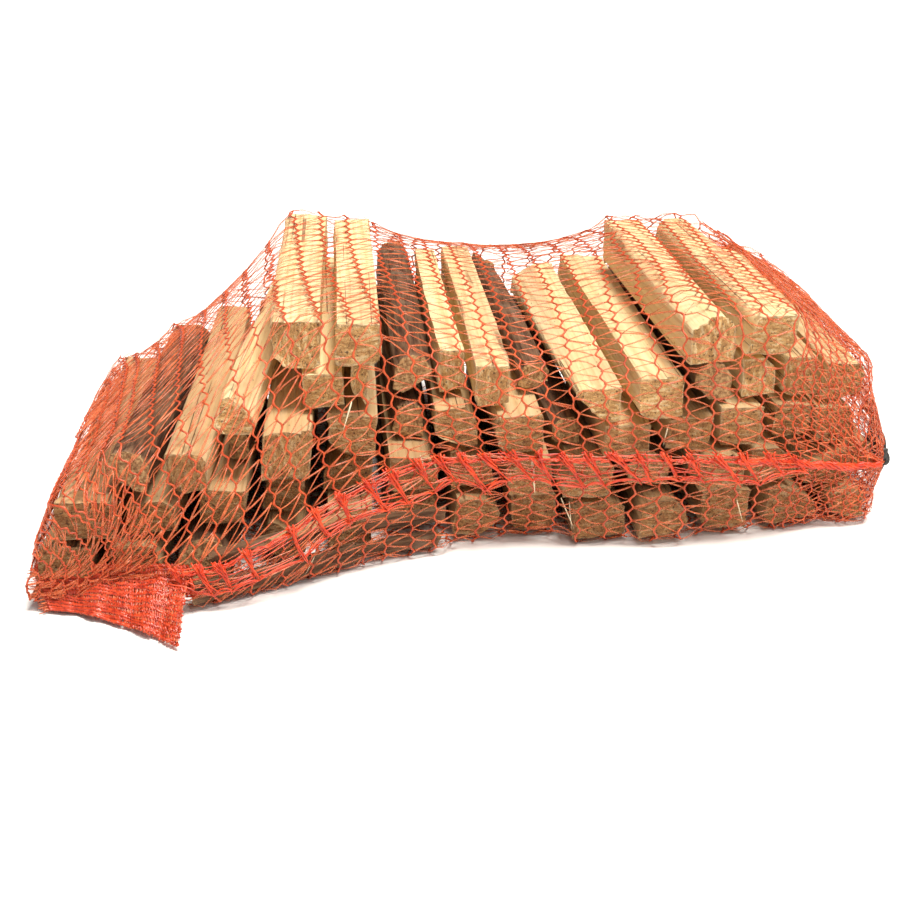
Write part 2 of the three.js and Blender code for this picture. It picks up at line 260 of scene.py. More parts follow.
side = wood.mix(streaks.over(0.52, 0.2), (0.92, 0.75, 0.43), (0.84, 0.61, 0.30))
side = wood.mix(late_wood * 0.34, side, (0.62, 0.37, 0.15))
side = wood.mix(fibres.over(0.6, 0.1) * 0.35, side, (0.95, 0.83, 0.56))
side = wood.mix(patches.over(0.60, 0.1) * 0.4, side, (0.60, 0.36, 0.19))
knots = wood.add(
    "ShaderNodeTexVoronoi", {}, {"Vector": wood.stretched(grain, (110, 260, 260)), "Scale": 1.0}
)
side = wood.mix((1 - knots.over(0.10, 0.05)) * 0.6, side, (0.22, 0.10, 0.04))
long_way = wood.streaky(grain, (1.2, 95, 95), 1.0)
near_split = wood.add("ShaderNodeMath", {"operation": "ABSOLUTE"}, {0: long_way - 0.5})
splits = (1 - near_split.over(0.007, 0.005)) * patches.over(0.54, 0.05)
side = wood.mix(splits * 0.8, side, (0.17, 0.075, 0.03))

crumbs = wood.streaky(grain, (900, 1000, 1000), 3.0, 0.7)
saw_lines = wood.streaky(grain, (300, 190, 620), 3.0, 0.65)
blotches = wood.streaky(grain, (150, 150, 150), 2.0)
end = wood.mix(crumbs.over(0.5, 0.16), (0.55, 0.29, 0.10), (0.82, 0.52, 0.21))
end = wood.mix((1 - saw_lines.over(0.45, 0.07)) * 0.6, end, (0.32, 0.15, 0.05))
end = wood.mix(saw_lines.over(0.58, 0.06) * 0.7, end, (0.96, 0.77, 0.44))
end = wood.mix(blotches.over(0.56, 0.1) * 0.35, end, (0.48, 0.25, 0.10))
pits = wood.streaky(grain, (650, 650, 650), 2.0, 0.7)
end = wood.mix((1 - pits.over(0.37, 0.05)) * 0.85, end, (0.07, 0.03, 0.012))

cut = wood.mix(sawn, side, end)
cut = wood.mix(worn * 0.4, cut, (0.93, 0.76, 0.47))
# Painted shade and tone: a low value darkens the wood and turns it redder, for the shaded lower
# courses, and it also carries each stick's random tone.
tone_and_shade_tint = wood.add("ShaderNodeCombineColor", {}, {0: tone, 1: tone**1.35, 2: tone**1.5})
toned_and_shaded = wood.mix(1.0, cut, tone_and_shade_tint, "MULTIPLY")

relief = streaks * 0.5 + fibres * 0.22 - late_wood * 0.12
relief = (relief - splits * 0.5) * (1 - sawn) + (crumbs * 0.6 + saw_lines * 1.3 + pits * 0.7) * sawn
wood.surface(
    Base_Color=toned_and_shaded,
    Roughness=0.62 + fibres * 0.25,
    Normal=wood.bump(relief, 0.0014, 1.0),
    Specular_IOR_Level=0.35,
)
print("split wood finished")

# %% [markdown]
# ## Bark and weathered wood
# A few sticks still have their bark or a weathered dark face. It is brown-black, furrowed along the
# stick, with grey plates between the furrows. Their ends are sawn wood like the others, so the sawn
# mask is used again.

# %% Bark's finish
bark = Finish("bark_and_dark_wood")
grain = bark.attribute("grain", 1)
sawn = bark.attribute("sawn_end")
worn = bark.attribute("worn_edge")
plates = bark.streaky(grain, (45, 260, 260), 4.0, 0.65)
strands = bark.streaky(grain, (25, 1100, 1100), 3.0, 0.6)
lichen = bark.streaky(grain, (60, 60, 60), 3.0)
dark = bark.mix(plates.over(0.5, 0.15), (0.060, 0.026, 0.014), (0.185, 0.098, 0.055))
dark = bark.mix(strands.over(0.58, 0.1) * 0.45, dark, (0.30, 0.165, 0.09))
dark = bark.mix(lichen.over(0.62, 0.08) * 0.4, dark, (0.27, 0.20, 0.14))
crumbs = bark.streaky(grain, (600, 600, 600), 3.0, 0.65)
end = bark.mix(crumbs.over(0.5, 0.12), (0.30, 0.155, 0.07), (0.66, 0.42, 0.20))
bark.surface(
    Base_Color=bark.mix(worn * 0.35, bark.mix(sawn, dark, end), (0.36, 0.22, 0.12)),
    Roughness=0.86,
    Normal=bark.bump(plates * 0.8 + strands * 0.3 + crumbs * 0.4 * sawn, 0.0016, 0.9),
    Specular_IOR_Level=0.25,
)
print("bark finished")

# %% [markdown]
# ## The sticks
# Each packed stick is right in size and place, but its faces are flat. A copy of it is sliced
# across every few millimetres and lengthways both ways, as a loaf is, which gives an even mesh that
# can carry torn wood. Its points are then moved inwards, never outwards, so a stick stays in its
# own place: long shallow ridges and ledges on the sides, crumbled arrises, and a rough saw cut on
# the ends.

# %% One stick, sliced
SLICE_ALONG = 4.2 * MM
SLICE_ACROSS = 2.7 * MM
SAME_POINT = 0.00002
SIDE_FACING = 0.4  # a face that looks less than this along the stick is one of its sides


def coordinates(mesh):
    found = np.zeros(len(mesh.vertices) * 3)
    mesh.vertices.foreach_get("co", found)
    return found.reshape(-1, 3)


def stick_axes(mesh):
    """The stick's middle, and the directions along it, across it and up through it."""
    points = coordinates(mesh)
    middle = points.mean(0)
    along = np.linalg.svd(points - middle, full_matrices=False)[2][0]
    along *= -1 if along[1] > 0 else 1
    sides = [f for f in mesh.polygons if abs(np.dot(f.normal, along)) < SIDE_FACING]
    widest = max(sides, key=lambda f: round(f.area * 1e6) + 0.001 * f.normal.z)
    up = np.array(widest.normal) - along * np.dot(widest.normal, along)
    up /= np.linalg.norm(up)
    return middle, along, np.cross(up, along), up


def copy_of(node, name):
    mesh = node.data.copy()
    mesh.materials.clear()
    piece = bpy.data.objects.new(name, mesh)
    scene.collection.objects.link(piece)
    return piece


def sliced(piece):
    mesh = piece.data
    bpy.ops.object.select_all(action="DESELECT")
    piece.select_set(True)
    bpy.context.view_layer.objects.active = piece
    bpy.ops.object.mode_set(mode="EDIT")
    bpy.ops.mesh.select_all(action="SELECT")
    bpy.ops.mesh.remove_doubles(threshold=SAME_POINT)
    bpy.ops.mesh.tris_convert_to_quads()
    bpy.ops.object.mode_set(mode="OBJECT")
    axes = stick_axes(mesh)
    middle, *directions = axes
    points = coordinates(mesh)
    bpy.ops.object.mode_set(mode="EDIT")
    for direction, step in zip(directions, (SLICE_ALONG, SLICE_ACROSS, SLICE_ACROSS)):
        reach = (points - middle) @ direction
        count = max(2, round((reach.max() - reach.min()) / step))
        for place in np.linspace(reach.min(), reach.max(), count + 1)[1:-1]:
            bpy.ops.mesh.select_all(action="SELECT")
            bpy.ops.mesh.bisect(
                plane_co=tuple(middle + direction * place), plane_no=tuple(direction)
            )
    bpy.ops.object.mode_set(mode="OBJECT")
    return axes


# %% Torn sides, crumbled edges and sawn ends
# Painted shade: the lower courses are coloured darker and redder for the shade that the upper sticks
# and the net cast on them, and the top course is a touch lighter.
COURSE_PAINTED_SHADE = {"bottom": 0.58, "second": 0.63, "third": 0.77, "fourth": 0.98, "top": 1.03}
SPLIT_CORNERS = 0.62  # the share of a stick's four corners that came away
SPLIT_SEED = 500  # keeps the draws for split corners apart from those for wear
END_FACING = 0.6  # a face that looks more than this along the stick is a sawn end
DEEPEST_WEAR = 2.8  # millimetres


def split_off(local, pick):
    """Corners that came away when the stick was split, and an end that was sawn a little askew."""
    half = abs(local).max(0)
    for side in ((1, 1), (1, -1), (-1, 1), (-1, -1)):
        if pick.random() < SPLIT_CORNERS:
            turn = math.radians(45 + pick.uniform(-24, 24))
            facing = np.array([side[0] * math.cos(turn), side[1] * math.sin(turn)])
            corner = abs(facing) @ half[1:]
            depth, slope = pick.uniform(1.5, 6.5) * MM, pick.uniform(-0.9, 0.9)
            cut = depth * (1 + slope * local[:, 0] / half[0])
            beyond = np.maximum(local[:, 1:] @ facing - (corner - cut), 0)
            local[:, 1:] -= beyond[:, None] * facing
    for way in (1, -1):
        slope_across, slope_up = pick.uniform(-1.6, 1.6) * MM, pick.uniform(-1.6, 1.6) * MM
        askew = slope_across * local[:, 1] / half[1] + slope_up * local[:, 2] / half[2]
        limit = half[0] - abs(slope_across) - abs(slope_up) + askew
        local[:, 0] = np.where(way * local[:, 0] > limit, way * limit, local[:, 0])
    return local


def wear(piece, axes, seed, is_bark, tone):
    mesh = piece.data
    middle, along, across, up = axes
    points = coordinates(mesh)
    local = np.stack([(points - middle) @ d for d in (along, across, up)], 1)
    local = split_off(local, random.Random(seed + SPLIT_SEED))
    points = middle + local @ np.array([along, across, up])
    mesh.vertices.foreach_set("co", points.ravel())
    mesh.update()
    start = np.array([seed * 0.731, 0.0, 0.0])
    pick = random.Random(seed)
    turn, away = pick.uniform(0, 2 * math.pi), pick.uniform(0.012, 0.05)
    start[1:] = away * math.cos(turn), away * math.sin(turn)
    grain_at = local + start

    normals = np.array([v.normal for v in mesh.vertices])
    sharp = np.ones(len(points))
    sawn_face = np.zeros(len(mesh.polygons))
    touches_end = np.zeros(len(points), bool)
    for face in mesh.polygons:
        facing = abs(float(np.dot(face.normal, along)))
        sawn_face[face.index] = 1.0 if facing > END_FACING else 0.0
        for corner in face.vertices:
            sharp[corner] = min(sharp[corner], float(np.dot(face.normal, normals[corner])))
            if facing > END_FACING:
                touches_end[corner] = True
    edge = np.clip((1 - sharp) * 6, 0, 1)

    depth = np.zeros(len(points))
    furrow = 1.5 if is_bark else 1.0
    for i, (s, a, u) in enumerate(grain_at):
        ridge = noise.noise(Vector((s * 9, a * 240, u * 240)))
        swell = noise.noise(Vector((s * 6 + 5, a * 75, u * 75)))
        ledge = noise.noise(Vector((s * 7 + 9, a * 120, u * 120)))
        ledge = math.floor(ledge * 3.2 + 1.6) / 3.2
        chip = noise.noise(Vector((s * 60, a * 90, u * 90)))
        torn = 0.35 * ridge * furrow + 0.80 * swell + 0.60 * ledge
        if touches_end[i]:
            rough = noise.noise(Vector((s * 300, a * 420, u * 420)))
            lump = noise.noise(Vector((s * 300 + 3, a * 170, u * 170)))
            torn = 0.50 * rough + 0.55 * lump
        depth[i] = 0.75 + torn + edge[i] * (0.35 + 1.5 * max(0.0, chip))
    depth = np.clip(depth, 0, DEEPEST_WEAR) * MM
    mesh.vertices.foreach_set("co", (points - normals * depth[:, None]).ravel())

    # Each stick's tone is a random difference of its own times the painted shade of its course.
    shade = np.full(len(points), pick.uniform(0.88, 1.04) * tone)
    grain_carried = mesh.attributes.new("grain", "FLOAT_VECTOR", "POINT")
    grain_carried.data.foreach_set("vector", grain_at.ravel())
    for name, kind, values in (
        ("worn_edge", "POINT", edge),
        ("sawn_end", "FACE", sawn_face),
        ("tone", "POINT", shade),
    ):
        mesh.attributes.new(name, "FLOAT", kind).data.foreach_set("value", values)
    mesh.update()


# %% All the sticks
SMOOTH_UP_TO = math.radians(38)
sticks = []


def finish_stick(piece, axes, seed, is_bark, tone):
    wear(piece, axes, seed, is_bark, tone)
    piece.data.materials.append(bark.material if is_bark else wood.material)
    bpy.ops.object.shade_smooth_by_angle(angle=SMOOTH_UP_TO)
    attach(piece, "root")
    sticks.append(piece)


for number, name in enumerate(stick_names):
    piece = copy_of(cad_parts[name], "split_" + name)
    tone = COURSE_PAINTED_SHADE[name.split("_")[0]]
    finish_stick(piece, sliced(piece), number + 1, name in barked, tone)
    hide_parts(name)
print(len(sticks), "sticks,", sum(len(s.data.polygons) for s in sticks), "faces")

# %% [markdown]
# ## Slivers and offcuts
# Near the closed end a few long slivers have turned lengthwise, in the angle between the sticks'
# ends and the floor, and two offcuts fill the mouth's corner. They are made from a box that is
# stretched between two points and then sliced and torn as the sticks are.

# %% Slivers and offcuts
# Painted shade: the slivers and offcuts lie in the shadow of the net and the pile, and their low
# tone colours them darker for it.
SLIVERS = (  # one end, the other end, width, height, with bark, tone with painted shade
    ((-0.134, -0.1205, 0.0078), (-0.058, -0.0765, 0.0078), 11.0, 12.0, True, 0.5),
    ((-0.126, -0.1130, 0.0180), (-0.064, -0.0800, 0.0200), 13.0, 8.0, True, 0.5),
    ((-0.100, -0.1060, 0.0250), (-0.060, -0.0800, 0.0290), 5.0, 4.0, False, 0.5),
    ((-0.062, -0.0760, 0.0052), (-0.020, -0.0625, 0.0060), 9.0, 8.0, True, 0.5),
    ((-0.062, -0.0715, 0.0160), (-0.018, -0.0560, 0.0165), 9.0, 10.0, True, 0.5),
    ((0.178, -0.0350, 0.0088), (0.157, 0.1050, 0.0088), 18.0, 13.0, False, 0.66),
    ((0.187, -0.0180, 0.0290), (0.173, 0.0900, 0.0290), 9.0, 15.0, False, 0.74),
)
SLIVER_SEED = 90
BLOCK_DEPTH = 22  # millimetres behind a sliver that the net cannot enter
slivers, blocks = [], []
for number, (start, end, width, height, is_bark, tone) in enumerate(SLIVERS):
    start, end = Vector(start), Vector(end)
    bpy.ops.object.select_all(action="DESELECT")
    bpy.ops.mesh.primitive_cube_add(size=1, location=(start + end) / 2)
    piece = bpy.context.active_object
    piece.name = piece.data.name = f"loose_offcut_{number + 1}"
    piece.scale = ((end - start).length, width * MM, height * MM)
    piece.rotation_euler = (end - start).to_track_quat("X", "Z").to_euler()
    bpy.ops.object.transform_apply(location=True, rotation=True, scale=True)
    corners = [v.co.copy() for v in piece.data.vertices]
    if start.x < 0:  # the angle behind a lengthwise sliver is closed to the net
        behind = Vector((start.y - end.y, end.x - start.x, 0)).normalized()
        for corner in corners:
            if (corner - (start + end) / 2).dot(behind) > 0:
                corner += behind * BLOCK_DEPTH * MM
    blocks.append((corners, [tuple(f.vertices) for f in piece.data.polygons]))
    axes = sliced(piece)
    slivers.append(coordinates(piece.data))
    finish_stick(piece, axes, SLIVER_SEED + number, is_bark, tone)
print(len(slivers), "slivers and offcuts")

# %% [markdown]
# ## The net's surface
# A knitted sack has hardly any stiffness: it is pulled round the load, bridges each gap, and rests
# on whatever sticks out furthest. A cloth simulation would find that, but so does a short
# relaxation, which is quicker and always ends the same: rings start as tight outlines of the pile,
# each point moves towards the middle of its neighbours, as tension pulls it, and is pushed back off
# any stick that it has come too near.

# %% Tight outlines of the pile
RINGS_APART = 12.7 * MM
FINE = 3  # columns of the surface for each ring of the knitting
ROUND = 156  # points round the sack, two to each stitch
CLEAR = 1.5 * MM
OUTLINE_REACH = 14 * MM  # how far along the sack an outline looks to each side
LEAN_OF_RINGS = math.tan(math.radians(7.5))

corner_points = np.concatenate(
    [coordinates(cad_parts[name].data) for name in stick_names] + slivers
)
corner_points = np.unique(corner_points.round(5), axis=0)
_, seam_high = (np.array(corner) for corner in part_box("side_seam"))
band_low, band_high = (np.array(corner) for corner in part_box("end_band"))
tape_low, tape_high = (np.array(corner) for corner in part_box("drawstring"))
left_end, right_end = corner_points[:, 0].min(), corner_points[:, 0].max()
DIRECTIONS = 72
angles = np.arange(DIRECTIONS) * 2 * math.pi / DIRECTIONS  # 0 is the back, a quarter turn is up
looking = np.stack([np.cos(angles), np.sin(angles)])
PLACES = 120
places = np.linspace(left_end, right_end, PLACES)
SPOKES = 360
spokes = np.arange(SPOKES) * 2 * math.pi / SPOKES


def smoothed(values, reach):
    """Each value's mean with as many neighbours to each side as the reach says."""
    width = 2 * reach + 1
    return np.convolve(np.pad(values, reach, mode="edge"), np.ones(width) / width, "valid")


def tight_outline(x):
    """The outline of a net that is tight round all that lies near one place along the sack."""
    near = corner_points[abs(corner_points[:, 0] - x) < OUTLINE_REACH]
    reach = (near[:, 1:] @ looking).max(0) + CLEAR
    following = np.roll(reach, -1)
    next_angle = angles + 2 * math.pi / DIRECTIONS
    step = math.sin(2 * math.pi / DIRECTIONS)
    y = (reach * np.sin(next_angle) - following * np.sin(angles)) / step
    z = (following * np.cos(angles) - reach * np.cos(next_angle)) / step
    return np.stack([y, z], 1)


def spoke_lengths(polygon, middle):
    """How far it is from the middle to the outline in each direction."""
    start = polygon - middle
    edge = np.roll(start, -1, axis=0) - start
    ray = np.stack([np.cos(spokes), np.sin(spokes)], 1)
    cross = ray[:, None, 0] * edge[None, :, 1] - ray[:, None, 1] * edge[None, :, 0]
    cross = np.where(abs(cross) < 1e-12, 1e-12, cross)
    t = (start[None, :, 0] * edge[None, :, 1] - start[None, :, 1] * edge[None, :, 0]) / cross
    u = (start[None, :, 0] * ray[:, None, 1] - start[None, :, 1] * ray[:, None, 0]) / cross
    hit = (t > 0) & (u >= -1e-6) & (u <= 1 + 1e-6)
    return np.where(hit, t, 0).max(1)


outlines = [tight_outline(x) for x in places]
middles = np.array([(o.min(0) + o.max(0)) / 2 for o in outlines])
middles = np.stack([smoothed(middles[:, k], 4) for k in range(2)], 1)
lengths = np.array([spoke_lengths(o, m) for o, m in zip(outlines, middles)])
print("tight outlines at", PLACES, "places, each with", SPOKES, "directions")


def ring_at(x_at_spoke):
    """A ring whose place along the sack is given for each direction round it."""
    at = np.interp(x_at_spoke, places, np.arange(PLACES))
    before = np.clip(np.floor(at).astype(int), 0, PLACES - 2)
    share = at - before
    j = np.arange(SPOKES)
    length = lengths[before, j] * (1 - share) + lengths[before + 1, j] * share
    middle = middles[before] * (1 - share)[:, None] + middles[before + 1] * share[:, None]
    y = middle[:, 0] + length * np.cos(spokes)
    z = middle[:, 1] + length * np.sin(spokes)
    return np.stack([x_at_spoke, y, z], 1)


def seam_height(x):
    """The seam runs low at the closed end and higher towards the mouth."""
    return np.interp(
        x,
        [-0.2, -0.120, -0.096, -0.072, -0.044, -0.016, 0.044, 0.102, 0.149, 0.180],
        [0.014, 0.019, 0.028, 0.037, 0.046, 0.048, 0.047, 0.045, 0.040, 0.031],
    )


def front_pull(x):
    """How far the seam pulls a ring's front along the sack, towards the mouth."""
    return np.interp(
        x,
        [-0.207, -0.165, -0.120, -0.066, -0.016, 0.064, 0.134, 0.18],
        [0.047, 0.028, 0.023, 0.017, 0.010, 0.005, 0.002, 0.0],
    )


# %% The rings, from the closed end to the mouth
def even_steps(ring):
    """The same closed ring as points at equal steps, from its first point."""
    loop = np.vstack([ring, ring[:1]])
    length = np.concatenate([[0], np.cumsum(np.linalg.norm(np.diff(loop, axis=0), axis=1))])
    steps = np.arange(ROUND) * length[-1] / ROUND
    return np.stack([np.interp(steps, length, loop[:, k]) for k in range(3)], 1)


def evenly_round(ring):
    """Points at equal steps round a ring, from the seam up over the top and back underneath."""
    ring = ring[::-1]
    middle_y = (ring[:, 1].min() + ring[:, 1].max()) / 2
    off_seam = np.where(ring[:, 1] < middle_y, abs(ring[:, 2] - seam_height(ring[:, 0])), 9)
    return even_steps(np.roll(ring, -int(off_seam.argmin()), axis=0))


def leaning_ring(x):
    flat = ring_at(np.full(SPOKES, x))
    y, z = flat[:, 1], flat[:, 2]
    front, back, top = y.min(), y.max(), z.max()
    fade = min(1, (x - left_end) / 0.04, (right_end - x) / 0.04)
    lean = -LEAN_OF_RINGS * (y - (front + back) / 2) * max(0.0, fade)
    seam_z = seam_height(x + front_pull(x))
    above = np.clip((top - z) / (top - seam_z), 0, 1)
    below = np.clip(1 - 0.5 * (seam_z - z) / seam_z, 0.5, 1)
    share = np.where(z > seam_z, above, below) * np.clip(1 - (y - front) / 0.16, 0, 1) ** 1.3
    at = np.clip(x + lean + front_pull(x) * share, left_end, right_end)
    return evenly_round(ring_at(at))


regular = round((right_end - left_end) / RINGS_APART)
columns = [leaning_ring(x) for x in np.linspace(left_end, right_end, regular * FINE + 1)]
for column, x in ((columns[0], left_end), (columns[-1], right_end)):
    away = -CLEAR if x < 0 else CLEAR
    column[:, 0] = np.where(abs(column[:, 0] - x) < 0.004, x + away, column[:, 0])

# The closed end: each further ring starts further along the band and cuts a smaller corner off
# the end face.
LEFT_RINGS = 7
end_corner = np.array([left_end, band_high[1] - 0.003, 0.004])
closing = []
for step in range(1, LEFT_RINGS * FINE + 1):
    t = step / (LEFT_RINGS * FINE)
    ring = leaning_ring(left_end - t * front_pull(-1))
    length = np.maximum(np.linalg.norm(ring - end_corner, axis=1), 1e-4)
    on_face = ring[:, 0] < left_end + 1e-5
    scale = np.ones(ROUND)
    if on_face.any():
        face = np.flatnonzero(on_face)
        smallest = 1.02 - t
        from_start = np.minimum.accumulate(length[face[0]] / length[face])
        from_stop = np.minimum.accumulate((length[face[-1]] / length[face])[::-1])[::-1]
        scale[face] = np.clip(np.maximum(from_start, from_stop), smallest, 1)
        ring[face, 0] -= CLEAR
    ring = end_corner + (ring - end_corner) * scale[:, None]
    ring[:, 0] = np.maximum(ring[:, 0], left_end - CLEAR)
    closing.append(even_steps(ring))

# The mouth: rings shrink to the neck that the drawstring holds.
last = columns[-1]
DRAWN_IN = np.array([-0.0045, 0, 0.004])  # the cord pulls the mouth a little tighter and higher
tape_low, tape_high = tape_low + DRAWN_IN, tape_high + DRAWN_IN
neck_middle = (tape_low + tape_high) / 2
turns = math.pi + 0.35 - np.arange(ROUND) * 2 * math.pi / ROUND
NECK_RADIUS = 0.0075
neck = np.stack(
    [
        np.full(ROUND, tape_low[0] - 0.003),
        neck_middle[1] + NECK_RADIUS * np.cos(turns),
        neck_middle[2] + NECK_RADIUS * np.sin(turns),
    ],
    1,
)
RIGHT_RINGS = 7
narrowing = []
for step in range(1, RIGHT_RINGS * FINE + 1):
    t = step / (RIGHT_RINGS * FINE)
    narrowing.append(last + (neck - last) * t)
mouth = neck + np.array([tape_high[0] - neck[0, 0], 0, 0])
lips = [neck + (mouth - neck) * (step / FINE) for step in range(1, FINE + 1)]
surface = np.array(closing[::-1] + columns + narrowing + lips)
print("the net's surface has", surface.shape[0], "columns of", surface.shape[1], "points")

# %% Tension and contact
pile_vertices, pile_faces = [], []
stick_meshes = [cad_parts[name].data for name in stick_names]
stick_shapes = [
    ([v.co.copy() for v in mesh.vertices], [tuple(f.vertices) for f in mesh.polygons])
    for mesh in stick_meshes
]
for corners, faces in stick_shapes + blocks:
    base = len(pile_vertices)
    pile_vertices += corners
    pile_faces += [tuple(base + i for i in face) for face in faces]
pile = BVHTree.FromPolygons(pile_vertices, pile_faces)
PUSH_REACH = 6 * MM
FLOOR_GAP = 0.8 * MM  # the least height of the points that a strand is laid through


def unit(vectors, least):
    """The same directions with length one; a length below the least counts as the least."""
    return vectors / np.maximum(np.linalg.norm(vectors, axis=-1, keepdims=True), least)


def push_off(points, clear):
    for point in points:
        where = Vector(point)
        hit, normal, _, gap = pile.find_nearest(where, PUSH_REACH)
        if hit is None:
            continue
        if (where - hit).dot(normal) < 0:
            point[:] = hit + normal * clear
        elif gap < clear:
            point[:] = hit + (where - hit) * (clear / max(gap, 1e-6))


def keep_off_floor(points, gap):
    points[..., 2] = np.maximum(points[..., 2], gap)


SETTLING_STEPS = 120
TENSION = 0.30
MOMENTUM, LATE_MOMENTUM = 0.88, 0.3
LATE = 0.8  # the share of the steps after which the net is slowed down
seam_line = surface[:, 0].copy()
seam_line[:, 2] = smoothed(seam_line[:, 2], 3)
count = len(surface)
from_left = np.arange(count) - LEFT_RINGS * FINE
from_right = count - 1 - (RIGHT_RINGS + 1) * FINE - np.arange(count)
from_ends = np.minimum(from_left, from_right)
round_pull = np.interp(from_ends, [-6, 3], [0.0, TENSION])[1:-1, None, None]
before = surface.copy()
for step in range(SETTLING_STEPS):
    middle = surface[1:-1]
    beside = (np.roll(middle, 1, axis=1) + np.roll(middle, -1, axis=1)) / 2
    ahead = (surface[2:] + surface[:-2]) / 2
    pull = (beside - middle) * round_pull + (ahead - middle) * TENSION
    kept = MOMENTUM if step < LATE * SETTLING_STEPS else LATE_MOMENTUM
    moving = middle + (middle - before[1:-1]) * kept + pull
    before = surface.copy()
    surface[1:-1] = moving
    surface[:, 0, 0] = seam_line[:, 0]
    surface[:, 0, 2] = seam_line[:, 2]
    surface[:, 0, 1] = np.clip(surface[:, 0, 1], seam_line[:, 1] - 0.002, seam_line[:, 1] + 0.004)
    push_off(surface[1:-1].reshape(-1, 3), CLEAR)
    keep_off_floor(surface, 1.2 * MM)
along_net = np.gradient(surface, axis=0)
round_net = (np.roll(surface, -1, axis=1) - np.roll(surface, 1, axis=1)) / 2
outward = unit(np.cross(round_net, along_net), 1e-9)
if (outward[60, 30] @ (surface[60, 30] - surface[60].mean(0))) < 0:
    outward = -outward
print("net settled over the sticks")


def on_net(column, place, lift=0.0):
    """Points on the net's surface at fractional columns and places round it, lifted off it."""
    column, place = np.broadcast_arrays(np.asarray(column, float), np.asarray(place, float))
    column = np.clip(column, 0, len(surface) - 1.001)
    c0, p0 = np.floor(column).astype(int), np.floor(place).astype(int)
    fc, fp = (column - c0)[..., None], (place - p0)[..., None]
    p0, p1 = p0 % ROUND, (p0 + 1) % ROUND

    def blended(field):
        near = field[c0, p0] * (1 - fp) + field[c0, p1] * fp
        far = field[c0 + 1, p0] * (1 - fp) + field[c0 + 1, p1] * fp
        return near * (1 - fc) + far * fc

    normal = blended(outward)
    points = blended(surface) + normal * np.asarray(lift, float)[..., None]
    keep_off_floor(points, FLOOR_GAP)
    return points, normal


REACH = 9 * MM
OFF_STICK = 0.5  # millimetres


def clear_of_pile(points, normals):
    """Strands are straight between the surface's points, so they are lifted off any stick again."""
    for point, outwards in zip(points.reshape(-1, 3), normals.reshape(-1, 3)):
        way = Vector(outwards)
        hit = pile.ray_cast(Vector(point) + way * REACH, -way, REACH + OFF_STICK * MM)[0]
        if hit is not None:
            point[:] = hit + way * OFF_STICK * MM
            point[2] = max(point[2], FLOOR_GAP)


# %% [markdown]
# ## Net cord and tape
# The sack is knitted from thin polyethylene tape. Chains of loops run round the sack and look thick
# and strongly orange; the laid-in tapes between them are single, flat, thin enough to let light
# through, and glossy, so they glint. One finish serves the chains and one the tapes, both with
# slight changes of colour along the strand.


# %% Plastic finishes
def plastic(name, deep, bright, roughness, alpha=1.0, spread=260.0):
    finish = Finish(name)
    place = finish.add("ShaderNodeTexCoord", output=3)
    cloudy = finish.noise(place, spread, 3.0, 0.6)
    broad = finish.noise(place, 22.0, 2.0)
    colour = finish.mix(cloudy.over(0.5, 0.2), deep, bright)
    colour = finish.mix(broad.over(0.6, 0.15) * 0.25, colour, deep)
    finish.surface(
        Base_Color=colour,
        Roughness=roughness + cloudy * 0.2,
        Normal=finish.bump(finish.noise(place, 900.0, 2.0), 0.0003, 0.5),
        Specular_IOR_Level=0.6,
        Alpha=alpha,
    )
    return finish.material


chain_finish = plastic("orange_net_chain", (0.58, 0.065, 0.018), (0.86, 0.150, 0.045), 0.28, 0.70)
tape_finish = plastic("clear_orange_tape", (0.62, 0.110, 0.038), (0.90, 0.24, 0.09), 0.16, 0.52)
seam_finish = plastic("orange_seam_cord", (0.54, 0.028, 0.007), (0.82, 0.078, 0.015), 0.26)
# Painted shade: the band's orange is made darker than the chains' orange, for the shadow and dark
# wood that lie behind it.
band_finish_with_painted_shade = plastic("orange_band_with_painted_shade", (0.36, 0.022, 0.007), (0.72, 0.075, 0.020), 0.24, spread=420.0)
black_finish = plastic("black_drawstring", (0.012, 0.011, 0.010), (0.035, 0.032, 0.030), 0.35)

# %% [markdown]
# ## Strands in bulk
# There are thousands of strands, so each is a slim closed tube of a few faces, and all the strands
# of one part are made together: a grid of points gives every tube its rings at once. A Curve object
# with a bevel could do this too, but not with a flat section that turns with the net's surface.


# %% A bundle of tubes as one mesh
def tubes(paths, normals, width, height, sides=5):
    """Vertices and faces of closed tubes, flat to the normals; all paths have as many points."""
    paths, normals = np.asarray(paths, float), np.asarray(normals, float)
    count, length, _ = paths.shape
    width = np.broadcast_to(np.asarray(width, float), (count, length))
    height = np.broadcast_to(np.asarray(height, float), (count, length))
    tangent = unit(np.gradient(paths, axis=1), 1e-12)
    sideways = unit(np.cross(tangent, normals), 1e-12)
    upwards = np.cross(sideways, tangent)
    around = np.arange(sides) * 2 * math.pi / sides + math.pi / sides
    rings = (
        paths[:, :, None]
        + sideways[:, :, None] * (width[..., None, None] / 2 * np.cos(around)[:, None])
        + upwards[:, :, None] * (height[..., None, None] / 2 * np.sin(around)[:, None])
    )
    index = np.arange(count * length * sides).reshape(count, length, sides)
    following = np.roll(index, -1, axis=2)
    quads = np.stack([index[:, :-1], following[:, :-1], following[:, 1:], index[:, 1:]], -1)
    starts = index[:, 0, ::-1].reshape(-1, sides)
    ends = index[:, -1].reshape(-1, sides)
    return rings.reshape(-1, 3), quads.reshape(-1, 4), np.concatenate([starts, ends])


